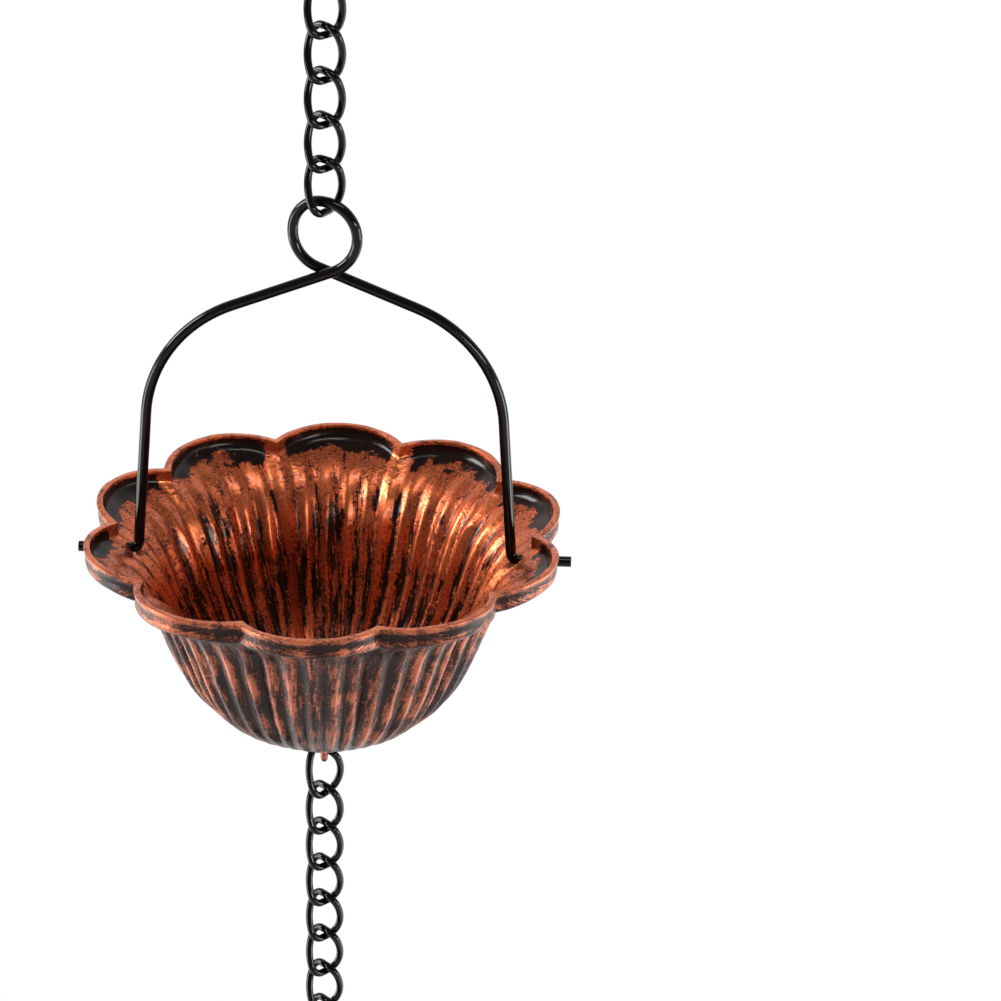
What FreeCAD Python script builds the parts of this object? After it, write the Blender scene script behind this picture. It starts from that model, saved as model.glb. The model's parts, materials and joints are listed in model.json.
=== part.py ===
# Rain chain: fluted petal cups in wire bails, hung one under another on twisted curb chain.
# Millimetres, +Z up. The origin is where the top link's bow rests on the hook that carries the chain,
# every bail lies in the XZ plane, and -Y is the front.
import FreeCAD, Part
import math
import os

from FreeCAD import Placement, Rotation, Vector

SIZES = (
    ("cup_count", 3, "cups in the chain"),
    ("links_above", 6, "links above the first bail"),
    ("links_between", 14, "links from one cup to the next bail"),
    ("links_below", 2, "links under the last cup"),
    ("play", 0.3, "gap left between wires that hang on each other"),
    ("link_wire", 1.65, "link wire diameter"),
    ("link_length", 13.2, "link length over the wire"),
    ("link_apex", 8.3, "width between the side corners of the link's centre line, before rounding"),
    ("bow_span", 6.2, "length of a bow's centre line between its corners, before rounding"),
    ("bow_flat", 1.7, "straight middle of a bow"),
    ("link_twist", 90, "turn from one bow of a link to the other, in degrees"),
    ("butt_gap", 0.45, "open joint in the link wire"),
    ("end_angle", 10, "turn of a link that meets a ring or an eye, in degrees"),
    ("bail_wire", 2.3, "bail wire diameter"),
    ("bail_drop", 80.7, "from the inside of the ring's top down to the pin axis"),
    ("ring_outer", 16.0, "ring width over the wire, as seen from the front"),
    ("ring_angle", 24, "turn of the ring's top out of the bail's plane, in degrees"),
    ("arm_drop", 14.6, "from the inside of the ring's top down to the crossing"),
    ("arm_angle", 22, "fall of the arms from the crossing, in degrees"),
    ("shoulder_span", 73.6, "distance between the shoulder corners, before rounding"),
    ("shoulder_radius", 30.0, "bend of the shoulders on the wire's centre line"),
    ("foot_span", 81.0, "distance between the feet of the bail"),
    ("foot_radius", 1.7, "bend of the feet on the wire's centre line"),
    ("pin_span", 107.0, "distance between the two wire ends"),
    ("pin_depth", 6.0, "pin axis below the rim at the notches"),
    ("pin_hole", 3.6, "diameter of the holes that the bail hangs the cup by"),
    ("cup_height", 46.0, "rim at the notches to underside"),
    ("rim_width", 105.0, "across two opposite petals"),
    ("notch_width", 94.0, "across two opposite notches at the rim"),
    ("wall", 1.4, "cup wall"),
    ("lip_height", 4.2, "height of the upturned lip"),
    ("lip_crown", 1.0, "rise of the rim from a notch to the middle of a petal"),
    ("lip_cove", 0.5, "hollow of the lip's outer face"),
    ("edge_round", 0.3, "rounding of the lip's top edge"),
    ("flute_depth", 1.4, "flute depth from ridge to valley at mid height"),
    ("base_width", 29.0, "flat underside of the cup"),
    ("drain_hole", 6.0, "diameter of the drain holes"),
    ("drain_circle", 20.0, "diameter of the circle of drain holes"),
    ("eye_hole", 3.8, "diameter of the hole that the eye's legs pass"),
    ("eye_wire", 1.5, "eye wire diameter"),
    ("eye_drop", 11.6, "eye below the underside of the cup"),
    ("eye_stem", 3.4, "straight stem of the eye below the cup"),
    ("eye_width", 5.8, "width of the eye's loop between wire centres"),
    ("eye_leg", 6.5, "length of each leg bent over inside the cup"),
)

PETALS = 10
FLUTES_PER_PETAL = 5
POINTS_PER_FLUTE = 5
DRAIN_HOLES = 4
# Every third link hangs with its open joint at the top.
TURNED_LINK_STEP = 3
# The wall is this much thicker where two petals meet at the rim.
RIB_SHARE = 0.6
CUBIC = 3

# Cup wall from the base edge up to the lip, as shares: height up the wall, reach from the base edge out to
# the rim at the petals, depth of the notch groove against that at the rim, and flute depth.
WALL_STATIONS = (
    (0.014, 0.100, 0.00, 0.0),
    (0.077, 0.213, 0.08, 0.4),
    (0.192, 0.345, 0.15, 0.8),
    (0.349, 0.455, 0.21, 1.0),
    (0.541, 0.537, 0.24, 1.0),
    (0.733, 0.611, 0.25, 1.0),
    (0.841, 0.671, 0.26, 0.9),
    (0.913, 0.745, 0.28, 0.7),
    (0.962, 0.845, 0.40, 0.4),
    (0.986, 0.950, 0.82, 0.1),
)

# Fall from one link to the next, and from the inside of a ring's top to the top of the chain under its cup.
LINK_FALL = "(sizes.link_length - 2 * sizes.link_wire - sizes.play)"
CUP_FALL = ("(sizes.bail_drop - sizes.pin_depth + sizes.cup_height + sizes.eye_drop"
            " - sizes.eye_wire - sizes.play)")

doc = FreeCAD.newDocument("rain_chain")
sheet = doc.addObject("Spreadsheet::Sheet", "sizes")
for row, (alias, value, note) in enumerate(SIZES, start=1):
    sheet.set(f"A{row}", note)
    sheet.set(f"B{row}", str(value))
    sheet.setAlias(f"B{row}", alias)
doc.recompute()


def size(alias):
    return float(sheet.get(alias))


# Bent wires

def setback(before, corner, after, radius):
    """Distance from a corner to where an arc of this radius leaves its two runs."""
    return radius * math.tan((corner - before).getAngle(after - corner) / 2)


def rounded_wire(corners, setbacks):
    """Straight runs joined by tangent arcs; each arc starts its setback before the corner."""
    edges = []
    start = corners[0]
    for before, corner, after, back in zip(corners, corners[1:], corners[2:], setbacks):
        arriving = (corner - before).normalize()
        leaving = (after - corner).normalize()
        half_turn = arriving.getAngle(leaving) / 2
        inward = (leaving - arriving).normalize()
        enter = corner - arriving * back
        leave = corner + leaving * back
        middle = corner + inward * (back * math.tan(half_turn / 2))
        edges.append(Part.LineSegment(start, enter).toShape())
        edges.append(Part.Arc(enter, middle, leave).toShape())
        start = leave
    edges.append(Part.LineSegment(start, corners[-1]).toShape())
    return Part.Wire(edges)


def wire_form(name, corners, setbacks, wire_alias):
    """The route of a bent wire and the round section at its start."""
    route = doc.addObject("Part::Feature", f"{name}_route")
    route.Shape = rounded_wire(corners, setbacks)
    section = doc.addObject("Part::Circle", f"{name}_section")
    section.setExpression("Radius", f"sizes.{wire_alias} / 2")
    section.Placement = Placement(corners[0], Rotation(Vector(0, 0, 1), corners[1] - corners[0]))
    return route, section


def link_form():
    """A curb link about its own centre: one bow turned each way out of the XZ plane, bulging sides."""
    reach = (size("link_length") - size("link_wire")) / 2
    half_bow = size("bow_span") / 2
    half_turn = math.radians(size("link_twist") / 2)
    across = Vector(math.cos(half_turn), math.sin(half_turn), 0)
    lower_right = across * half_bow - Vector(0, 0, reach)
    lower_left = across * -half_bow - Vector(0, 0, reach)
    upper_right = Vector(lower_right.x, -lower_right.y, reach)
    upper_left = Vector(lower_left.x, -lower_left.y, reach)
    right = Vector(size("link_apex") / 2, 0, 0)
    left = -right
    gap_side = across * (size("butt_gap") / 2)
    bottom = Vector(0, 0, -reach)
    bow_back = half_bow - size("bow_flat") / 2
    side_back = 0.95 * (lower_right.distanceToPoint(right) - bow_back)
    corners = [bottom + gap_side, lower_right, right, upper_right, upper_left, left, lower_left, bottom - gap_side]
    setbacks = [bow_back, side_back, bow_back, bow_back, side_back, bow_back]
    return wire_form("link", corners, setbacks, "link_wire")


def bail_form():
    """A bail about the inside of its ring's top: foot, shoulder, ring with crossed ends, shoulder, foot."""
    wire = size("bail_wire")
    slope = math.tan(math.radians(size("arm_angle")))
    half_ring = (size("ring_outer") - wire) / 2
    half_shoulder = size("shoulder_span") / 2
    crossing = -size("arm_drop")
    pins = -size("bail_drop")
    shoulder_height = crossing - half_shoulder * slope
    ring_low = crossing + half_ring * slope
    ring_top = wire / 2
    # The arms pass each other at the crossing, so the ring is one open turn of a coil.
    depth = (wire + size("play")) / 2 * (half_shoulder + half_ring) / half_shoulder
    top_depth = half_ring * math.tan(math.radians(size("ring_angle")))
    ring = [
        Vector(half_ring, -depth, ring_low),
        Vector(half_ring, -top_depth, ring_top),
        Vector(-half_ring, top_depth, ring_top),
        Vector(-half_ring, depth, ring_low),
    ]
    left_arm = [
        Vector(-size("pin_span") / 2, 0, pins),
        Vector(-size("foot_span") / 2, 0, pins),
        Vector(-half_shoulder, 0, shoulder_height),
    ]
    right_arm = [Vector(-point.x, 0, point.z) for point in reversed(left_arm)]
    corners = left_arm + ring + right_arm
    foot = setback(*corners[0:3], size("foot_radius"))
    shoulder = setback(*corners[1:4], size("shoulder_radius"))
    top = 0.95 * corners[4].distanceToPoint(corners[5]) / 2
    low = 0.95 * (corners[3].distanceToPoint(corners[4]) - top)
    return wire_form("bail", corners, [foot, shoulder, low, top, top, low, shoulder, foot], "bail_wire")


def eye_form():
    """An eye about the middle of the cup's rim: legs bent over on the cup's floor, stem, loop."""
    wire = size("eye_wire")
    half_loop = size("eye_width") / 2
    half_stem = (wire + size("play")) / 2
    underside = -size("cup_height")
    floor = underside + size("wall") + wire / 2
    stem_end = underside - size("eye_stem")
    loop_end = underside - size("eye_drop") + wire / 2
    loop_side = (stem_end + loop_end) / 2
    front = [
        Vector(0, -half_stem - size("eye_leg"), floor),
        Vector(0, -half_stem, floor),
        Vector(0, -half_stem, stem_end),
        Vector(0, -half_loop, loop_side),
        Vector(0, -half_loop, loop_end),
    ]
    back = [Vector(0, -point.y, point.z) for point in reversed(front)]
    bend = wire
    bow = half_loop * 0.85
    side = 0.9 * (front[3].distanceToPoint(front[4]) - bow)
    stem = setback(*front[1:4], 2 * wire)
    setbacks = [bend, stem, side, bow]
    return wire_form("eye", front + back, setbacks + setbacks[::-1], "eye_wire")


# Cup

def petal_row(tip, notch, flute=0):
    """One row of a petal from notch to notch, about the petal's own axis: an arc through both notches and the
    tip, with flutes laid on it. tip and notch are (radius, height), flute is half the depth of a flute."""
    half_petal = math.pi / PETALS
    centre = (tip[0] ** 2 - notch[0] ** 2) / (2 * (tip[0] - notch[0] * math.cos(half_petal)))
    arc_radius = tip[0] - centre
    steps = FLUTES_PER_PETAL * POINTS_PER_FLUTE
    row = []
    for step in range(steps + 1):
        share = 2 * step / steps - 1
        angle = share * half_petal
        on_arc = centre * math.cos(angle) + math.sqrt(arc_radius ** 2 - (centre * math.sin(angle)) ** 2)
        radius = on_arc + flute * math.cos(math.pi * FLUTES_PER_PETAL * share)
        height = notch[1] + (tip[1] - notch[1]) * (1 - share ** 2)
        row.append(Vector(radius * math.cos(angle), radius * math.sin(angle), height))
    return row


def offset_inward(points, distances):
    """Points of a profile line moved square to it, towards the axis and up."""
    moved = []
    for index, (radius, height) in enumerate(points):
        before = points[max(index - 1, 0)]
        after = points[min(index + 1, len(points) - 1)]
        along = Vector(after[0] - before[0], after[1] - before[1], 0).normalize()
        moved.append((radius - along.y * distances[index], height + along.x * distances[index]))
    return moved


def petal_rows():
    """Control rows of a petal's skin: up the outside, over the lip and down the inside to the floor."""
    base = size("base_width") / 2
    rim = size("rim_width") / 2
    groove = rim - size("notch_width") / 2
    height = size("cup_height")
    lip = size("lip_height")
    crown = size("lip_crown")
    wall = size("wall")
    edge = size("edge_round")

    tips = []
    notches = []
    flutes = []
    for up, reach, cut, depth in WALL_STATIONS:
        radius = base + reach * (rim - base)
        level = up * (height - lip) - height
        tips.append((radius, level + cut * crown))
        notches.append((radius - cut * groove, level))
        flutes.append(depth * size("flute_depth") / 2)
    outside = [petal_row(*ends) for ends in zip(tips, notches, flutes)]

    inner_tips = offset_inward(tips, [wall] * len(tips))
    inner_notches = offset_inward(notches, [wall * (1 + RIB_SHARE * row[2]) for row in WALL_STATIONS])
    inside = [petal_row(*ends) for ends in zip(inner_tips, inner_notches, flutes)]

    lip_profile = (
        (0, -lip),
        (size("lip_cove"), -lip / 2),
        (0, -2 * edge),
        (0, -edge / 3),
        (edge / 3, 0),
        (wall - edge / 3, 0),
        (wall, -edge / 3),
        (wall, -2 * edge),
        (wall, -lip / 2),
    )
    lip_rows = []
    for inset, level in lip_profile:
        notch = rim - groove - inset * (1 + RIB_SHARE * inset / wall)
        lip_rows.append(petal_row((rim - inset, level + crown), (notch, level)))

    base_edge = (base, -height)
    floor_edge = (inner_tips[0][0] - wall, wall - height)
    return ([petal_row(base_edge, base_edge)] + outside + lip_rows + inside[::-1]
            + [petal_row(floor_edge, floor_edge)])


def even_knots(count):
    """Knots and multiplicities of a cubic that starts and ends on its first and last control point."""
    spans = count - CUBIC
    return list(range(spans + 1)), [CUBIC + 1] + [1] * (spans - 1) + [CUBIC + 1]


def ring_of(shape):
    """A shape repeated once for each petal, with a notch on the X axis."""
    copies = []
    for number in range(PETALS):
        turned = shape.copy()
        turned.rotate(Vector(), Vector(0, 0, 1), (number + 0.5) * 360 / PETALS)
        copies.append(turned)
    return copies


def cup_blank():
    """The cast cup about its rim's middle, before drilling: petal skins closed by the base and the floor."""
    rows = petal_rows()
    row_knots, row_mults = even_knots(len(rows))
    point_knots, point_mults = even_knots(len(rows[0]))
    skin = Part.BSplineSurface()
    skin.buildFromPolesMultsKnots(rows, row_mults, point_mults, row_knots, point_knots, False, False, CUBIC, CUBIC)
    faces = ring_of(skin.toShape())
    for end in (row_knots[0], row_knots[-1]):
        faces.append(Part.Face(Part.Wire(ring_of(skin.uIso(end).toShape()))))
    shell = Part.makeShell(faces)
    shell.sewShape()
    solid = Part.makeSolid(shell)
    if solid.Volume < 0:
        solid.reverse()
    blank = doc.addObject("Part::Feature", "cup_blank")
    blank.Shape = solid
    return blank


def drill(name, diameter, depth, placement):
    """A hole's cylinder, sized by expressions."""
    hole = doc.addObject("Part::Cylinder", name)
    hole.Placement = placement
    hole.setExpression("Radius", f"{diameter} / 2")
    hole.setExpression("Height", depth)
    return hole


def cup_holes():
    """Two holes for the bail's ends in opposite notches, one for the eye and a circle of drain holes."""
    pins = drill("pin_holes", "sizes.pin_hole", "sizes.pin_span", Placement(Vector(), Rotation(Vector(0, 1, 0), 90)))
    pins.setExpression("Placement.Base.x", "-sizes.pin_span / 2")
    # The cup hangs with the top of its holes just clear of the wire.
    pins.setExpression("Placement.Base.z",
                       "sizes.play - sizes.pin_depth - (sizes.pin_hole - sizes.bail_wire) / 2")
    upright = [drill("eye_hole", "sizes.eye_hole", "3 * sizes.wall", Placement())]
    for number in range(DRAIN_HOLES):
        angle = (number + 0.5) * 360 / DRAIN_HOLES
        hole = drill(f"drain_hole_{number + 1}", "sizes.drain_hole", "3 * sizes.wall", Placement())
        hole.setExpression("Placement.Base.x", f"sizes.drain_circle / 2 * cos({angle} deg)")
        hole.setExpression("Placement.Base.y", f"sizes.drain_circle / 2 * sin({angle} deg)")
        upright.append(hole)
    for hole in upright:
        hole.setExpression("Placement.Base.z", "-sizes.cup_height - sizes.wall")
    holes = doc.addObject("Part::Compound", "cup_holes")
    holes.Links = [pins] + upright
    return holes


# The chain from top to bottom

def bent_wire(label, form, height, turn=Rotation()):
    """A wire swept along its route, set at a height given as an expression."""
    route, section = form
    wire = doc.addObject("Part::Sweep", label)
    wire.Label = label
    wire.Sections = [section]
    wire.Spine = (route, [f"Edge{n + 1}" for n in range(len(route.Shape.Edges))])
    wire.Solid = True
    wire.Placement = Placement(Vector(), turn)
    wire.setExpression("Placement.Base.z", height)
    return wire


def drilled_cup(label, blank, holes, height):
    cup = doc.addObject("Part::Cut", label)
    cup.Label = label
    cup.Base = blank
    cup.Tool = holes
    cup.setExpression("Placement.Base.z", height)
    return cup


def hanging_height(links, cups):
    """Underside of the next top bow or ring when so many links and cups hang above it."""
    return f"-({links} * {LINK_FALL} + {cups} * {CUP_FALL})"


def hang_links(prefix, form, count, links, cups):
    """A run of links; the counts of links and cups already above it give its height."""
    run = []
    for number in range(1, count + 1):
        seat = hanging_height(links + number - 1, cups)
        height = f"{seat} + sizes.link_wire - sizes.link_length / 2"
        turn = Rotation()
        if (links + number) % TURNED_LINK_STEP == 0:
            turn = Rotation(Vector(1, 0, 0), 180)
        if number in (1, count):
            turn = Rotation(Vector(0, 0, 1), size("end_angle")) * turn
        run.append(bent_wire(f"{prefix}_{number:02d}", form, height, turn))
    return run


def hang_chain():
    """Every piece of the chain in hanging order."""
    link = link_form()
    bail = bail_form()
    eye = eye_form()
    blank = cup_blank()
    holes = cup_holes()
    pieces = []
    links = 0
    for cups in range(int(size("cup_count"))):
        tier = f"tier_{cups + 1}"
        count = int(size("links_between" if cups else "links_above"))
        pieces += hang_links(f"{tier}_link", link, count, links, cups)
        links += count
        ring = hanging_height(links, cups)
        rim = f"{ring} - sizes.bail_drop + sizes.pin_depth"
        pieces.append(bent_wire(f"{tier}_bail", bail, ring))
        pieces.append(drilled_cup(f"{tier}_cup", blank, holes, rim))
        pieces.append(bent_wire(f"{tier}_eye", eye, rim))
    pieces += hang_links("tail_link", link, int(size("links_below")), links, int(size("cup_count")))
    return pieces


def check_and_write(pieces):
    for item in doc.Objects:
        if "Invalid" in item.State or "Error" in item.State:
            raise RuntimeError(f"{item.Label} did not compute: {item.State}")
    for piece in pieces:
        if piece.Shape.isNull() or not piece.Shape.isValid():
            raise RuntimeError(f"{piece.Label} has no valid shape")
    os.makedirs("parts", exist_ok=True)
    for piece in pieces:
        piece.Shape.exportStep(f"parts/{piece.Label}.step")


nodes = hang_chain()
doc.recompute()
check_and_write(nodes)
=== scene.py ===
"""Looks of the rain chain: wire in black enamel or copper paint, and cups with copper rubbed over enamel."""

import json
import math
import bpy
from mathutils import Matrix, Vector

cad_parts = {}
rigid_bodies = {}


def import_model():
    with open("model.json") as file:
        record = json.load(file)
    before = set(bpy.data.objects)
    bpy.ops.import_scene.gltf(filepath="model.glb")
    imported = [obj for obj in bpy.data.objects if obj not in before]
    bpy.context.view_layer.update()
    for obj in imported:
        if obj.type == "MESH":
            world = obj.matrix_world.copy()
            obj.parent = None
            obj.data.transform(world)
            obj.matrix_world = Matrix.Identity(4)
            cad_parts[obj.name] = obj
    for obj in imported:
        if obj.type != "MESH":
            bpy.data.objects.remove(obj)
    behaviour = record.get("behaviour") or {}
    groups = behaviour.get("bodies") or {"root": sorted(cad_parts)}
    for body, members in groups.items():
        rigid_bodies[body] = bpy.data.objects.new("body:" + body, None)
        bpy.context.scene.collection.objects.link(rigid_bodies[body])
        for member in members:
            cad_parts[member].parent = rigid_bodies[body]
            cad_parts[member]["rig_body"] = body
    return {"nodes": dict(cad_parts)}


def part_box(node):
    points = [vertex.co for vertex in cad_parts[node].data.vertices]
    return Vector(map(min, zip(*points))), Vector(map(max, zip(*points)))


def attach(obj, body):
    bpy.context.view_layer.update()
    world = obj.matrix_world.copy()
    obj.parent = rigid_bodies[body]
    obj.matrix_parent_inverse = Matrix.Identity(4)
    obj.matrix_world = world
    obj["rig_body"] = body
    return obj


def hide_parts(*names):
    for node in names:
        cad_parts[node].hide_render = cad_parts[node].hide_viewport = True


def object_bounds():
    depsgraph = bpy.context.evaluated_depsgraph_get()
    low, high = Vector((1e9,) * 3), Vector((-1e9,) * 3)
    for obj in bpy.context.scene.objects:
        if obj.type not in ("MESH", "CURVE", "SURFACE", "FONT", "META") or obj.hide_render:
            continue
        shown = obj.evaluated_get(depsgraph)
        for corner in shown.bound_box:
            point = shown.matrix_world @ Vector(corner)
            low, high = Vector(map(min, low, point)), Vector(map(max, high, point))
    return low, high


bl_info = {
    "name": "Rain chain",
    "version": (1, 0, 0),
    "blender": (4, 5, 0),
    "location": "View3D > Sidebar > Rain chain",
    "description": "Finishes the cups, bails, eyes and links of a rain chain and sets its stage",
    "category": "Object",
}

import bpy
import numpy as np
from mathutils import Vector

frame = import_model()
CAD_BOX = [list(corner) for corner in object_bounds()]
TIERS = sorted(name[:-len("_cup")] for name in frame["nodes"] if name.endswith("_cup"))
LINKS = sorted(name for name in frame["nodes"] if "_link_" in name)

MM = 0.001
PETALS = 10
FLUTES_PER_PETAL = 5
# The rim rises by this much from a notch to the middle of a petal.
RIM_CROWN = 1.0 * MM
# Depths under the rim, as shares of the cup's height, and how deep the flutes are there, of their full depth.
FLUTE_FADE = ((0, 0.1, 0.2, 0.35, 0.7, 0.85, 0.98), (0, 0.1, 0.8, 1, 1, 0.8, 0))
# The radius at which the petals are unrolled without stretch.
UNROLL_RADIUS = 34 * MM
# Keeps the middle of the bottom off a radius of nothing.
LEAST_RADIUS = 0.1 * MM
# Corners of neighbouring triangles are closer than this.
MERGE_GAP = 0.002 * MM
# Edges that turn by more than this stay sharp.
CUP_CREASE = math.radians(50)
WIRE_CREASE = math.radians(40)

# The sockets of a Mix node for numbers and for colours.
NUMBER_A = 2
NUMBER_B = 3
COLOUR_A = 6
COLOUR_B = 7
COLOUR_OUT = 2

IMAGE_PIXELS = 1001
SENSOR_MM = 36.0
CLIP_START = 0.01
FLOOR_RADIUS = 9
FLOOR_SIDES = 96
# How white the floor itself glows under the object, where its shadow has to show.
SHADOW_GLOW = 0.45
# The surroundings' brightness in front and overhead, and the share of it all that lights matt surfaces.
DIM_STUDIO = 0.14
FILL_SHARE = 0.6
# Each softbox: its place from the middle of the top cup's rim and its size in metres, and its power in watts.
SOFTBOXES = {
    "key_softbox": ((-1.05, 0.0, 0.5), (0.5, 0.5), 14),
    "top_softbox": ((0.1, -0.35, 1.1), (0.7, 0.14), 4),
    "left_softbox": ((-1.03, -0.28, -0.2), (0.5, 0.5), 9),
    "right_softbox": ((1.03, -0.25, -0.18), (0.5, 0.5), 10),
    "low_left_softbox": ((-0.65, 0.2, -0.5), (0.6, 0.6), 2.4),
    "low_right_softbox": ((0.6, 0.2, -0.5), (0.6, 0.6), 2.0),
    "rim_softbox": ((0.7, -0.75, 0.22), (0.5, 0.1), 4),
}


def srgb(code):
    """A hex colour as linear red, green and blue."""
    shares = [int(code[start:start + 2], 16) / 255 for start in (0, 2, 4)]
    return tuple(c / 12.92 if c <= 0.04045 else ((c + 0.055) / 1.055) ** 2.4 for c in shares)


def colour(name, description, code):
    return bpy.props.FloatVectorProperty(
        name=name, description=description, subtype="COLOR", size=3, min=0, max=1, default=srgb(code))


def length(name, description, metres):
    return bpy.props.FloatProperty(
        name=name, description=description, default=metres, unit="LENGTH", precision=5)


def angle(name, description, degrees):
    return bpy.props.FloatProperty(
        name=name, description=description, default=math.radians(degrees), subtype="ANGLE")


def pixels(name, description, count):
    return bpy.props.FloatProperty(name=name, description=description, default=count)


class RainChainFinish(bpy.types.PropertyGroup):
    copper_bright: colour("Bright copper", "Copper paint where it lies thick", "DC7546")
    copper_deep: colour("Deep copper", "Copper paint where it is rubbed thin", "A2422A")
    # The outside copper is a duller, darker copy of the inside copper: partly thinner paint, partly painted
    # shade on the outside of the cup.
    shaded_dull_bright: colour("Dull bright copper", "Thick copper paint outside", "AE6246")
    shaded_dull_deep: colour("Dull deep copper", "Thin copper paint outside", "4A2016")
    enamel: colour("Black enamel", "Enamel under the copper and on the wires", "080707")
    enamel_worn: colour("Worn enamel", "Enamel where handling has dulled it", "0C0A0A")
    enamel_brown: colour("Brown enamel", "Enamel with a stain of copper in it", "22100A")
    eye_copper: colour("Eye copper", "Copper paint on the eyes", "9A5238")
    stroke_width: length("Stroke width", "Width of one brush mark", 0.6 * MM)
    stroke_length: length("Stroke length", "Length of one brush mark", 9 * MM)
    scratch_width: length("Scratch width", "Width of a scratch through the copper", 0.32 * MM)
    scratch_length: length("Scratch length", "Length of a scratch through the copper", 3.0 * MM)
    speck: length("Speck", "Size of the bare specks", 0.8 * MM)
    patch: length("Patch", "Size of the thick and thin patches of copper", 11 * MM)
    ripple: length("Ripple", "Unevenness of the casting's skin", 0.3 * MM)
    ripple_length: length("Ripple length", "Length of one ripple of the casting's skin", 6 * MM)


class RainChainStage(bpy.types.PropertyGroup):
    distance: length("Distance", "Camera to the middle of the top cup's rim", 0.75)
    azimuth: angle("Azimuth", "Camera's turn to the right of the front", 4.09)
    elevation: angle("Elevation", "Camera's height over the rim", 26.93)
    focal_pixels: pixels("Focal length", "Focal length in pixels of the picture", 3462.0)
    aim_x: pixels("Aim across", "Where the rim's middle falls across the picture, in pixels", 324.8)
    aim_y: pixels("Aim down", "Where the rim's middle falls down the picture, in pixels", 529.2)
    floor_gap: length("Floor gap", "From the last link down to the floor", 0.12)
    shadow_reach: length("Shadow reach", "Radius of the floor that shows the object's shadow", 0.6)
    paper: colour("Paper", "Paper of the floor", "F4F4F4")


def select_only(piece):
    bpy.ops.object.select_all(action="DESELECT")
    piece.select_set(True)
    bpy.context.view_layer.objects.active = piece


def smooth_copy(node, name, material, crease):
    """A node's shape as one joined, smooth-shaded skin that stands for the node."""
    piece = bpy.data.objects.new(name, frame["nodes"][node].data.copy())
    bpy.context.scene.collection.objects.link(piece)
    select_only(piece)
    bpy.ops.object.mode_set(mode="EDIT")
    bpy.ops.mesh.select_all(action="SELECT")
    bpy.ops.mesh.remove_doubles(threshold=MERGE_GAP)
    bpy.ops.object.mode_set(mode="OBJECT")
    bpy.ops.mesh.customdata_custom_splitnormals_clear()
    bpy.ops.object.shade_smooth_by_angle(angle=crease)
    piece.data.materials.clear()
    piece.data.materials.append(material)
    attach(piece, frame["nodes"][node]["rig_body"])
    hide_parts(node)
    return piece


def add(tree, kind, links=None, out=0, stops=(), **settings):
    """Adds a node with its settings and gives the socket that it puts out. Links gives its inputs as sockets
    to join or as values, and stops the grey stops of a ramp as (place, value)."""
    node = tree.nodes.new(kind)
    for name, value in settings.items():
        setattr(node, name, value)
    for place, source in (links or {}).items():
        if isinstance(source, bpy.types.NodeSocket):
            tree.links.new(source, node.inputs[place])
        else:
            node.inputs[place].default_value = source
    for number, (place, value) in enumerate(stops):
        elements = node.color_ramp.elements
        stop = elements[number] if number < 2 else elements.new(place)
        stop.position = place
        stop.color = (value, value, value, 1)
    return node.outputs[out] if node.outputs else None


def new_material(name):
    material = bpy.data.materials.new(name)
    material.use_nodes = True
    material.node_tree.nodes.clear()
    return material, material.node_tree


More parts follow.
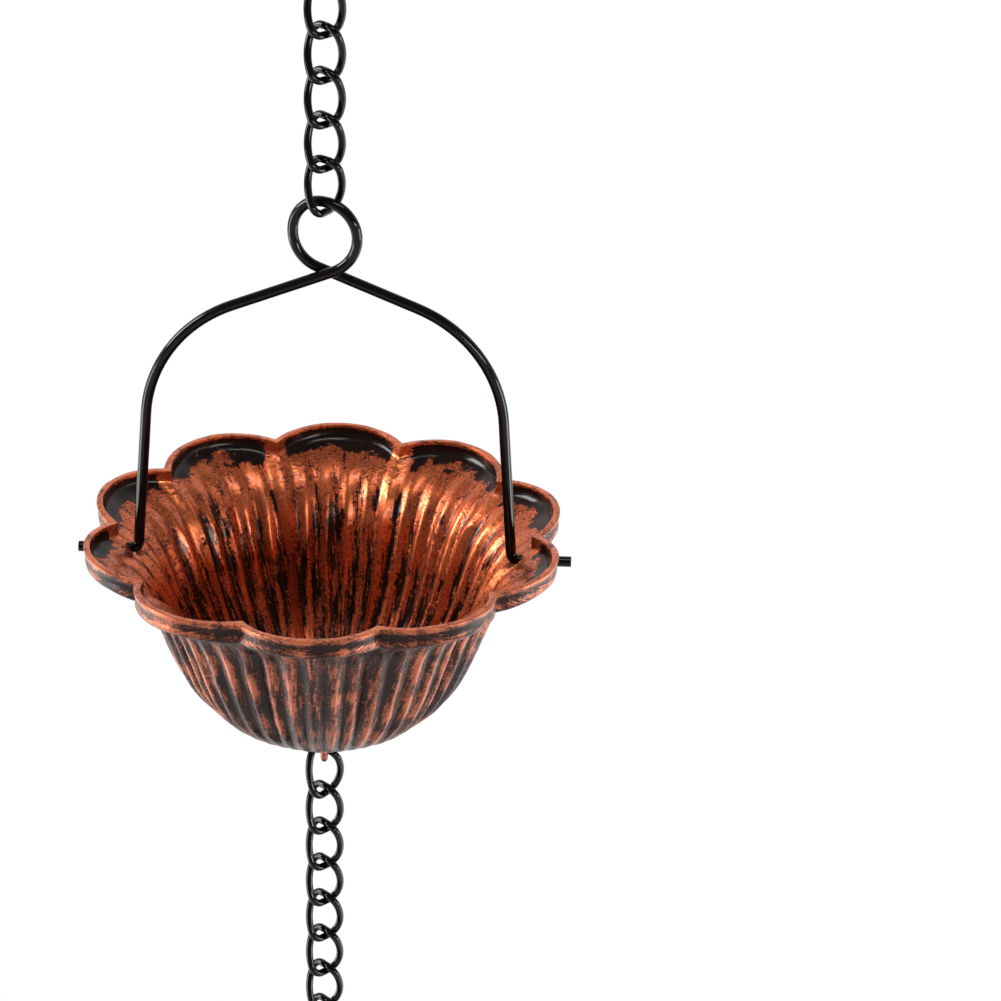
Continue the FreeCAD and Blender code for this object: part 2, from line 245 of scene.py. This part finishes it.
def rubbed_copper(finish):
    """Copper paint rubbed by hand over black enamel on a casting. It stays on what stands proud and is rubbed
    off the hollows in short strokes and scratches, and the enamel lies pooled and glossy in the corner of the
    lip. Copper that faces copper, low in the cup, glows deep red, and painted shade darkens it there as well."""
    material, tree = new_material("copper_paint_rubbed_over_black_enamel")
    object_space = add(tree, "ShaderNodeTexCoord", out="Object")
    petal_map = add(tree, "ShaderNodeUVMap", uv_map="petal")
    proud = add(tree, "ShaderNodeAttribute", out="Fac", attribute_name="proud")
    depth = add(tree, "ShaderNodeAttribute", out="Fac", attribute_name="depth")
    inside = add(tree, "ShaderNodeAttribute", out="Fac", attribute_name="inside")
    notch = add(tree, "ShaderNodeAttribute", out="Fac", attribute_name="notch")

    # Marks of the brush and of wear, each a noise of one width and length, turned by an angle in degrees.
    marks = {}
    for name, space, width, run, turn, detail in (
            ("strokes", petal_map, finish.stroke_width, finish.stroke_length, 3, 5.0),
            ("sweeps", petal_map, 2.4 * MM, 24 * MM, -4, 3.0),
            ("band_streaks", petal_map, 9 * MM, 0.4 * MM, 0, 4.0),
            ("left_scratches", petal_map, finish.scratch_width, finish.scratch_length, 38, 2.0),
            ("right_scratches", petal_map, finish.scratch_width, finish.scratch_length, -52, 2.0),
            ("cross_scratches", petal_map, finish.scratch_width, finish.scratch_length, 84, 2.0),
            ("chips", petal_map, 0.55 * MM, 1.4 * MM, 64, 3.0),
            ("grain", petal_map, 0.35 * MM, 0.8 * MM, 8, 3.0),
            ("specks", object_space, finish.speck, finish.speck, 0, 5.0),
            ("patches", object_space, finish.patch, finish.patch, 0, 3.0),
            ("pools", object_space, 5 * MM, 5 * MM, 0, 2.0)):
        placed = add(tree, "ShaderNodeMapping", {
            "Vector": space, "Rotation": (0, 0, math.radians(turn)), "Scale": (width, run, width)},
            vector_type="TEXTURE")
        level = add(tree, "ShaderNodeTexNoise", {
            "Vector": placed, "Scale": 1.0, "Detail": detail, "Roughness": 0.6})
        marks[name] = add(tree, "ShaderNodeMath", {0: level, 1: 0.5}, operation="SUBTRACT")

    # How much copper was rubbed on, from the rim (0) down to the underside (1). Inside it thins towards the
    # bottom. Outside it dips in the groove round the lip band and just below the band, and falls off at the
    # underside: partly enamel left in those hollows, partly painted shade. Ridges keep more of it than hollows
    # do, most near the notches and in some patches more than in others.
    inner_reach = add(tree, "ShaderNodeValToRGB", {"Fac": depth}, stops=(
        (0.0, 0.98), (0.1, 1.0), (0.24, 0.92), (0.36, 0.78), (0.55, 0.73), (0.8, 0.72), (1.0, 0.68)))
    # Outside: the dips at 0.028 to 0.05 and at 0.095, and the fall at the underside, are partly painted shade.
    outer_reach_and_shade = add(tree, "ShaderNodeValToRGB", {"Fac": depth}, stops=(
        (0.0, 0.9), (0.016, 0.8), (0.028, 0.3), (0.05, 0.34), (0.062, 0.66), (0.08, 0.6), (0.095, 0.06),
        (0.13, 0.42), (0.5, 0.52), (0.9, 0.48), (1.0, 0.4)))
    inner_wear = add(tree, "ShaderNodeValToRGB", {"Fac": depth}, stops=(
        (0.1, 0.0), (0.16, 0.1), (0.22, 0.36), (0.34, 0.14), (0.7, 0.2), (1.0, 0.1)))
    wear = add(tree, "ShaderNodeMix", {0: inside, NUMBER_A: 0.22, NUMBER_B: inner_wear})
    uneven = add(tree, "ShaderNodeMath", {0: marks["patches"], 1: 3.0, 2: notch}, operation="MULTIPLY_ADD")
    uneven = add(tree, "ShaderNodeMath", {0: uneven, 1: 0.5}, operation="ADD")
    wear = add(tree, "ShaderNodeMath", {0: wear, 1: uneven}, operation="MULTIPLY")
    flutes = add(tree, "ShaderNodeMath", {0: proud, 1: wear}, operation="MULTIPLY")

    # Enamel pools in the corner of the lip, with a wandering edge. It leaves out the ridge of each notch,
    # which has more copper than the petal beside it.
    lip_depth = add(tree, "ShaderNodeMath", {0: marks["pools"], 1: 0.12, 2: depth}, operation="MULTIPLY_ADD")
    pool = add(tree, "ShaderNodeMapRange", {
        "Value": lip_depth, "From Min": 0.08, "From Max": 0.1, "To Min": 1.0, "To Max": 0.0})
    under_edge = add(tree, "ShaderNodeMapRange", {"Value": depth, "From Min": 0.012, "From Max": 0.022})
    pool = add(tree, "ShaderNodeMath", {0: pool, 1: under_edge}, operation="MULTIPLY")
    off_ridge = add(tree, "ShaderNodeMapRange", {
        "Value": notch, "From Min": 0.78, "From Max": 0.9, "To Min": 1.0, "To Max": 0.0})
    pool = add(tree, "ShaderNodeMath", {0: pool, 1: off_ridge}, operation="MULTIPLY")
    inner = add(tree, "ShaderNodeMath", {0: off_ridge, 1: -0.2, 2: inner_reach}, operation="MULTIPLY_ADD")
    inner = add(tree, "ShaderNodeMath", {0: pool, 1: -0.8, 2: inner}, operation="MULTIPLY_ADD")
    reach = add(tree, "ShaderNodeMix", {0: inside, NUMBER_A: outer_reach_and_shade, NUMBER_B: inner})

    # The copper that is left by the brush marks, which run round the lip and down the petals.
    band = add(tree, "ShaderNodeMapRange", {
        "Value": depth, "From Min": 0.085, "From Max": 0.11, "To Min": 1.0, "To Max": 0.0})
    marks["strokes"] = add(tree, "ShaderNodeMix", {
        0: band, NUMBER_A: marks["strokes"], NUMBER_B: marks["band_streaks"]})
    cover = add(tree, "ShaderNodeMath", {0: reach, 1: flutes}, operation="ADD")
    for name, outer_weight, inner_weight in (
            ("strokes", 1.7, 1.6), ("sweeps", 1.3, 1.4), ("patches", 1.8, 0.8), ("specks", 0.8, 0.7),
            ("grain", 1.0, 0.2)):
        weight = add(tree, "ShaderNodeMix", {0: inside, NUMBER_A: outer_weight, NUMBER_B: inner_weight})
        cover = add(tree, "ShaderNodeMath", {0: marks[name], 1: weight, 2: cover}, operation="MULTIPLY_ADD")
    bare_below = add(tree, "ShaderNodeMix", {0: inside, NUMBER_A: 0.22, NUMBER_B: 0.36})
    full_above = add(tree, "ShaderNodeMix", {0: inside, NUMBER_A: 0.9, NUMBER_B: 0.62})
    copper = add(tree, "ShaderNodeMapRange", {
        "Value": cover, "From Min": bare_below, "From Max": full_above}, interpolation_type="SMOOTHSTEP")

    # Scratches and chips take copper off inside the cup, in some places and not in others.
    scratched = add(tree, "ShaderNodeMapRange", {
        "Value": marks["pools"], "From Min": -0.06, "From Max": 0.06})
    scratched = add(tree, "ShaderNodeMath", {0: scratched, 1: inside}, operation="MULTIPLY")
    for name, bare_from, bare_to in (
            ("left_scratches", 0.12, 0.15), ("right_scratches", 0.11, 0.14), ("cross_scratches", 0.13, 0.16),
            ("chips", 0.1, 0.13)):
        bare = add(tree, "ShaderNodeMapRange", {
            "Value": marks[name], "From Min": bare_from, "From Max": bare_to})
        bare = add(tree, "ShaderNodeMath", {0: bare, 1: scratched}, operation="MULTIPLY")
        kept = add(tree, "ShaderNodeMath", {0: 1.0, 1: bare}, operation="SUBTRACT")
        copper = add(tree, "ShaderNodeMath", {0: copper, 1: kept}, operation="MULTIPLY")

    # Thick copper is brighter. Inside, painted glints lie on it as bright spots, and outside it is dull and
    # darker, with painted shade in it, over browner enamel.
    # Copper brightness by depth inside: painted shade darkens it in a band just under the lip and deep in the
    # cup.
    inner_body_and_shade = add(tree, "ShaderNodeValToRGB", {"Fac": depth}, stops=(
        (0.0, 0.8), (0.12, 0.66), (0.26, 0.85), (0.45, 0.8), (0.7, 0.75), (1.0, 0.7)))
    thick = add(tree, "ShaderNodeMapRange", {"Value": cover, "From Min": 0.4, "From Max": 1.0})
    inner_thick = add(tree, "ShaderNodeMath", {0: thick, 1: inner_body_and_shade}, operation="MULTIPLY")
    # Bright spots of thick copper inside, from the grain: painted glints.
    painted_glint_flecks = add(tree, "ShaderNodeMapRange", {"Value": marks["grain"], "From Min": 0.02, "From Max": 0.12})
    inner_thick = add(tree, "ShaderNodeMath", {0: inner_thick, 1: painted_glint_flecks}, operation="ADD", use_clamp=True)
    inner_copper = add(tree, "ShaderNodeMix", {
        0: inner_thick, COLOUR_A: (*finish.copper_deep, 1), COLOUR_B: (*finish.copper_bright, 1)},
        COLOUR_OUT, data_type="RGBA")
    # The outside's copper colours carry painted shade.
    shaded_outer_copper = add(tree, "ShaderNodeMix", {
        0: thick, COLOUR_A: (*finish.shaded_dull_deep, 1), COLOUR_B: (*finish.shaded_dull_bright, 1)},
        COLOUR_OUT, data_type="RGBA")
    copper_colour = add(tree, "ShaderNodeMix", {
        0: inside, COLOUR_A: shaded_outer_copper, COLOUR_B: inner_copper}, COLOUR_OUT, data_type="RGBA")
    stain = add(tree, "ShaderNodeMath", {0: marks["specks"], 1: 0.5}, operation="ADD")
    brown = add(tree, "ShaderNodeMix", {0: inside, NUMBER_A: 0.9, NUMBER_B: stain})
    enamel_colour = add(tree, "ShaderNodeMix", {
        0: brown, COLOUR_A: (*finish.enamel, 1), COLOUR_B: (*finish.enamel_brown, 1)},
        COLOUR_OUT, data_type="RGBA")
    base = add(tree, "ShaderNodeMix", {
        0: copper, COLOUR_A: enamel_colour, COLOUR_B: copper_colour}, COLOUR_OUT, data_type="RGBA")

    # The shine of both, the step at the copper's edges and a fine grit inside.
    full_metal = add(tree, "ShaderNodeMix", {0: inside, NUMBER_A: 0.6, NUMBER_B: 0.92})
    metal = add(tree, "ShaderNodeMath", {0: copper, 1: full_metal}, operation="MULTIPLY")
    enamel_gloss = add(tree, "ShaderNodeMix", {0: inside, NUMBER_A: 0.26, NUMBER_B: 0.16})
    copper_gloss = add(tree, "ShaderNodeMapRange", {"Value": stain, "To Min": 0.2, "To Max": 0.44})
    rough = add(tree, "ShaderNodeMix", {0: copper, NUMBER_A: enamel_gloss, NUMBER_B: copper_gloss})
    relief = add(tree, "ShaderNodeMath", {0: copper, 1: 0.5, 2: marks["specks"]}, operation="MULTIPLY_ADD")
    grit = add(tree, "ShaderNodeMath", {0: marks["grain"], 1: inside}, operation="MULTIPLY")
    relief = add(tree, "ShaderNodeMath", {0: grit, 1: 0.5, 2: relief}, operation="MULTIPLY_ADD")
    bump = add(tree, "ShaderNodeBump", {"Height": relief, "Strength": 0.6, "Distance": 0.12 * MM})
    lacquer = add(tree, "ShaderNodeMix", {0: inside, NUMBER_A: 0.1, NUMBER_B: 0.22})
    shader = add(tree, "ShaderNodeBsdfPrincipled", {
        "Base Color": base, "Metallic": metal, "Roughness": rough, "Normal": bump, "Specular IOR Level": 0.12,
        "Coat Weight": lacquer, "Coat Roughness": 0.16})
    add(tree, "ShaderNodeOutputMaterial", {"Surface": shader})
    return material


def black_enamel(finish):
    """Gloss black enamel dipped on bent steel wire: deep black with a thin bright line where it turns to the
    light, and a faint orange peel."""
    material, tree = new_material("gloss_black_enamel_on_steel_wire")
    object_space = add(tree, "ShaderNodeTexCoord", out="Object")
    peel = add(tree, "ShaderNodeTexNoise", {"Vector": object_space, "Scale": 1 / (0.8 * MM), "Detail": 3.0})
    dull = add(tree, "ShaderNodeTexNoise", {"Vector": object_space, "Scale": 1 / (5 * MM), "Detail": 4.0})
    rough = add(tree, "ShaderNodeMapRange", {"Value": dull, "To Min": 0.06, "To Max": 0.2})
    base = add(tree, "ShaderNodeMix", {
        0: dull, COLOUR_A: (*finish.enamel, 1), COLOUR_B: (*finish.enamel_worn, 1)},
        COLOUR_OUT, data_type="RGBA")
    bump = add(tree, "ShaderNodeBump", {"Height": peel, "Strength": 0.12, "Distance": 0.05 * MM})
    shader = add(tree, "ShaderNodeBsdfPrincipled", {
        "Base Color": base, "Roughness": rough, "Normal": bump, "Specular IOR Level": 0.2})
    add(tree, "ShaderNodeOutputMaterial", {"Surface": shader})
    return material


def copper_wire(finish):
    """Copper paint brushed on the eye's steel wire, satin, with black left in specks."""
    material, tree = new_material("copper_paint_on_steel_wire")
    object_space = add(tree, "ShaderNodeTexCoord", out="Object")
    specks = add(tree, "ShaderNodeTexNoise", {"Vector": object_space, "Scale": 1 / (1.2 * MM), "Detail": 5.0})
    bare = add(tree, "ShaderNodeMapRange", {"Value": specks, "From Min": 0.5, "From Max": 0.62})
    base = add(tree, "ShaderNodeMix", {
        0: bare, COLOUR_A: (*finish.eye_copper, 1), COLOUR_B: (*finish.enamel_brown, 1)},
        COLOUR_OUT, data_type="RGBA")
    rough = add(tree, "ShaderNodeMapRange", {"Value": specks, "To Min": 0.28, "To Max": 0.48})
    bump = add(tree, "ShaderNodeBump", {"Height": specks, "Strength": 0.2, "Distance": 0.05 * MM})
    shader = add(tree, "ShaderNodeBsdfPrincipled", {
        "Base Color": base, "Metallic": 0.6, "Roughness": rough, "Normal": bump})
    add(tree, "ShaderNodeOutputMaterial", {"Surface": shader})
    return material


def ripple_skin(piece, finish):
    """Gives a cup's skin the slight unevenness of a casting."""
    cloud = bpy.data.textures.new("casting_ripple", "CLOUDS")
    cloud.noise_scale = finish.ripple_length
    cloud.noise_depth = 1
    uneven = piece.modifiers.new("casting_ripple", "DISPLACE")
    uneven.texture = cloud
    uneven.texture_coords = "LOCAL"
    uneven.strength = finish.ripple
    uneven.mid_level = 0.5
    select_only(piece)
    bpy.ops.object.modifier_apply(modifier=uneven.name)


def map_petals(piece, drift):
    """Marks every point of a cup with its depth under the rim, inside or outside, how far it stands proud and
    how near it is to a notch, and unrolls the petals so that brush marks follow the flutes. Drift moves the
    marks along, so that no two cups are rubbed alike."""
    mesh = piece.data
    points = np.zeros(len(mesh.vertices) * 3, np.float32)
    normals = np.zeros(len(mesh.vertices) * 3, np.float32)
    mesh.vertices.foreach_get("co", points)
    mesh.vertex_normals.foreach_get("vector", normals)
    points = points.reshape(-1, 3)
    normals = normals.reshape(-1, 3)
    radius = np.maximum(np.hypot(points[:, 0], points[:, 1]), LEAST_RADIUS)
    turn = np.arctan2(points[:, 1], points[:, 0])
    # From -1 at a petal's one notch over 0 in its middle to 1 at the other.
    share = (turn / (2 * math.pi / PETALS)) % 1 * 2 - 1
    height = points[:, 2].max() - points[:, 2].min()
    below_rim = points[:, 2].max() - points[:, 2]
    depth = np.maximum(below_rim - RIM_CROWN * share ** 2, 0) / height
    outward = (normals[:, 0] * points[:, 0] + normals[:, 1] * points[:, 1]) / radius
    inside = (normals[:, 2] > outward).astype(np.float32)
    flute = np.interp(depth, *FLUTE_FADE)
    proud = np.cos(FLUTES_PER_PETAL * math.pi * share) * flute * (1 - 2 * inside)
    for name, values in (("depth", depth), ("inside", inside), ("proud", proud), ("notch", np.abs(share))):
        mesh.attributes.new(name, "FLOAT", "POINT").data.foreach_set("value", values.astype(np.float32))

    # A triangle's corners stay together where the turn jumps by a whole round.
    corners = np.zeros(len(mesh.loops), np.int32)
    mesh.loops.foreach_get("vertex_index", corners)
    triangles = turn[corners].reshape(-1, 3)
    middle = np.arctan2(np.sin(triangles).sum(1), np.cos(triangles).sum(1))[:, None]
    unrolled = middle + (triangles - middle + math.pi) % (2 * math.pi) - math.pi
    run = radius.max() - radius + below_rim
    spread = np.stack((unrolled.reshape(-1) * UNROLL_RADIUS + drift, run[corners]), 1).astype(np.float32)
    mesh.uv_layers.new(name="petal").data.foreach_set("uv", spread.reshape(-1))


class RAINCHAIN_OT_cups(bpy.types.Operator):
    """Finish the cups"""
    bl_idname = "rain_chain.cups"
    bl_label = "Cups"

    def execute(self, context):
        finish = context.scene.rain_chain_finish
        material = rubbed_copper(finish)
        for number, tier in enumerate(TIERS):
            cup = smooth_copy(f"{tier}_cup", f"{tier}_fluted_cup", material, CUP_CREASE)
            map_petals(cup, number * 2 * math.pi * UNROLL_RADIUS)
            ripple_skin(cup, finish)
        return {"FINISHED"}


class RAINCHAIN_OT_wires(bpy.types.Operator):
    """Finish the bails and the links"""
    bl_idname = "rain_chain.wires"
    bl_label = "Bails and links"

    def execute(self, context):
        material = black_enamel(context.scene.rain_chain_finish)
        for tier in TIERS:
            smooth_copy(f"{tier}_bail", f"{tier}_wire_bail", material, WIRE_CREASE)
        for link in LINKS:
            smooth_copy(link, f"{link}_wire", material, WIRE_CREASE)
        return {"FINISHED"}


class RAINCHAIN_OT_eyes(bpy.types.Operator):
    """Finish the eyes under the cups"""
    bl_idname = "rain_chain.eyes"
    bl_label = "Eyes"

    def execute(self, context):
        material = copper_wire(context.scene.rain_chain_finish)
        for tier in TIERS:
            smooth_copy(f"{tier}_eye", f"{tier}_wire_eye", material, WIRE_CREASE)
        return {"FINISHED"}


class RAINCHAIN_OT_stage(bpy.types.Operator):
    """Set the floor, the lamps, the surroundings and the camera"""
    bl_idname = "rain_chain.stage"
    bl_label = "Stage"

    def execute(self, context):
        stage = context.scene.rain_chain_stage
        rim = Vector((0, 0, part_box(f"{TIERS[0]}_cup")[1].z - RIM_CROWN))
        self.add_floor(stage)
        self.add_surroundings(context)
        for name, (offset, size, power) in SOFTBOXES.items():
            self.add_softbox(context, name, rim, Vector(offset), size, power)
        self.add_camera(context, stage, rim)
        context.scene.view_settings.view_transform = "Standard"
        return {"FINISHED"}

    def add_floor(self, stage):
        """White paper that shows the object's shadow under it and runs out into plain white."""
        bpy.ops.object.select_all(action="DESELECT")
        bpy.ops.mesh.primitive_circle_add(
            vertices=FLOOR_SIDES, radius=FLOOR_RADIUS, fill_type="NGON",
            location=(0, 0, CAD_BOX[0][2] - stage.floor_gap))
        floor = bpy.context.object
        floor.name = "paper_floor"
        material, tree = new_material("matt_white_paper")
        place = add(tree, "ShaderNodeTexCoord", out="Object")
        away = add(tree, "ShaderNodeVectorMath", {0: place}, "Value", operation="LENGTH")
        white = add(tree, "ShaderNodeMapRange", {
            "Value": away, "From Min": 0.3 * stage.shadow_reach, "From Max": stage.shadow_reach,
            "To Min": SHADOW_GLOW, "To Max": 1.0}, interpolation_type="SMOOTHSTEP")
        share = add(tree, "ShaderNodeMath", {0: self.seen_rays(tree), 1: white}, operation="MULTIPLY")
        matt = add(tree, "ShaderNodeBsdfDiffuse", {"Color": (*stage.paper, 1)})
        glow = add(tree, "ShaderNodeEmission", {"Color": (1, 1, 1, 1), "Strength": 1.0})
        mix = add(tree, "ShaderNodeMixShader", {0: share, 1: matt, 2: glow})
        add(tree, "ShaderNodeOutputMaterial", {"Surface": mix})
        floor.data.materials.append(material)

    def seen_rays(self, tree):
        """1 for rays that the eye, a shine or a clear body sends out."""
        seen = add(tree, "ShaderNodeLightPath", out="Is Camera Ray")
        for ray in ("Is Glossy Ray", "Is Transmission Ray"):
            other = add(tree, "ShaderNodeLightPath", out=ray)
            seen = add(tree, "ShaderNodeMath", {0: seen, 1: other}, operation="MAXIMUM")
        return seen

    def add_surroundings(self, context):
        """A white cove below, behind and beside the object, while the studio in front of it and overhead is
        dim. The camera itself sees plain white all round."""
        world = bpy.data.worlds.new("white_studio")
        context.scene.world = world
        world.use_nodes = True
        tree = world.node_tree
        tree.nodes.clear()
        direction = add(tree, "ShaderNodeTexCoord", out="Generated")
        behind_and_below = (0, 1, -1)
        towards_cove = add(tree, "ShaderNodeVectorMath", {0: direction, 1: behind_and_below}, "Value",
                           operation="DOT_PRODUCT")
        cove = add(tree, "ShaderNodeMapRange", {
            "Value": towards_cove, "From Min": -0.7, "From Max": 0.15, "To Min": DIM_STUDIO, "To Max": 1.0},
            interpolation_type="SMOOTHSTEP")
        seen_straight = add(tree, "ShaderNodeLightPath", out="Is Camera Ray")
        cove = add(tree, "ShaderNodeMix", {0: seen_straight, NUMBER_A: cove, NUMBER_B: 1.0})
        strength = add(tree, "ShaderNodeMapRange", {
            "Value": self.seen_rays(tree), "To Min": FILL_SHARE, "To Max": 1.0})
        strength = add(tree, "ShaderNodeMath", {0: strength, 1: cove}, operation="MULTIPLY")
        background = add(tree, "ShaderNodeBackground", {"Color": (1, 1, 1, 1), "Strength": strength})
        add(tree, "ShaderNodeOutputWorld", {"Surface": background})

    def add_softbox(self, context, name, target, offset, size, power):
        """A lamp that stands off its target and faces it."""
        lamp = bpy.data.lights.new(name, "AREA")
        lamp.shape = "RECTANGLE"
        lamp.size, lamp.size_y = size
        lamp.energy = power
        holder = bpy.data.objects.new(name, lamp)
        holder.location = target + offset
        holder.rotation_euler = (-offset).to_track_quat("-Z", "Y").to_euler()
        context.scene.collection.objects.link(holder)

    def add_camera(self, context, stage, rim):
        """Stands the camera off the rim's middle and turns it so that this falls at the aim in the picture."""
        level = math.cos(stage.elevation)
        back = Vector((
            math.sin(stage.azimuth) * level, -math.cos(stage.azimuth) * level, math.sin(stage.elevation)))
        across = (stage.aim_x - IMAGE_PIXELS / 2) / stage.focal_pixels
        down = (stage.aim_y - IMAGE_PIXELS / 2) / stage.focal_pixels
        aside = Vector((across, -down, -1)).rotation_difference(Vector((0, 0, -1)))
        lens = bpy.data.cameras.new("camera")
        lens.sensor_width = SENSOR_MM
        lens.lens = stage.focal_pixels / IMAGE_PIXELS * SENSOR_MM
        lens.clip_start = CLIP_START
        camera = bpy.data.objects.new("camera", lens)
        camera.location = rim + back * stage.distance
        camera.rotation_euler = (back.to_track_quat("Z", "Y") @ aside).to_euler()
        context.scene.collection.objects.link(camera)
        context.scene.camera = camera


class RAINCHAIN_PT_panel(bpy.types.Panel):
    bl_idname = "RAINCHAIN_PT_panel"
    bl_label = "Rain chain"
    bl_space_type = "VIEW_3D"
    bl_region_type = "UI"
    bl_category = "Rain chain"

    def draw(self, context):
        for operator in OPERATORS:
            self.layout.operator(operator.bl_idname)
        for group in (context.scene.rain_chain_finish, context.scene.rain_chain_stage):
            for name in group.__annotations__:
                self.layout.prop(group, name)


OPERATORS = (RAINCHAIN_OT_cups, RAINCHAIN_OT_wires, RAINCHAIN_OT_eyes, RAINCHAIN_OT_stage)
CLASSES = (RainChainFinish, RainChainStage, *OPERATORS, RAINCHAIN_PT_panel)


def register():
    for kind in CLASSES:
        bpy.utils.register_class(kind)
    bpy.types.Scene.rain_chain_finish = bpy.props.PointerProperty(type=RainChainFinish)
    bpy.types.Scene.rain_chain_stage = bpy.props.PointerProperty(type=RainChainStage)


def unregister():
    del bpy.types.Scene.rain_chain_stage
    del bpy.types.Scene.rain_chain_finish
    for kind in reversed(CLASSES):
        bpy.utils.unregister_class(kind)


def main():
    register()
    bpy.ops.rain_chain.cups()
    bpy.ops.rain_chain.wires()
    bpy.ops.rain_chain.eyes()
    bpy.ops.rain_chain.stage()


if __name__ == "__main__":
    main()
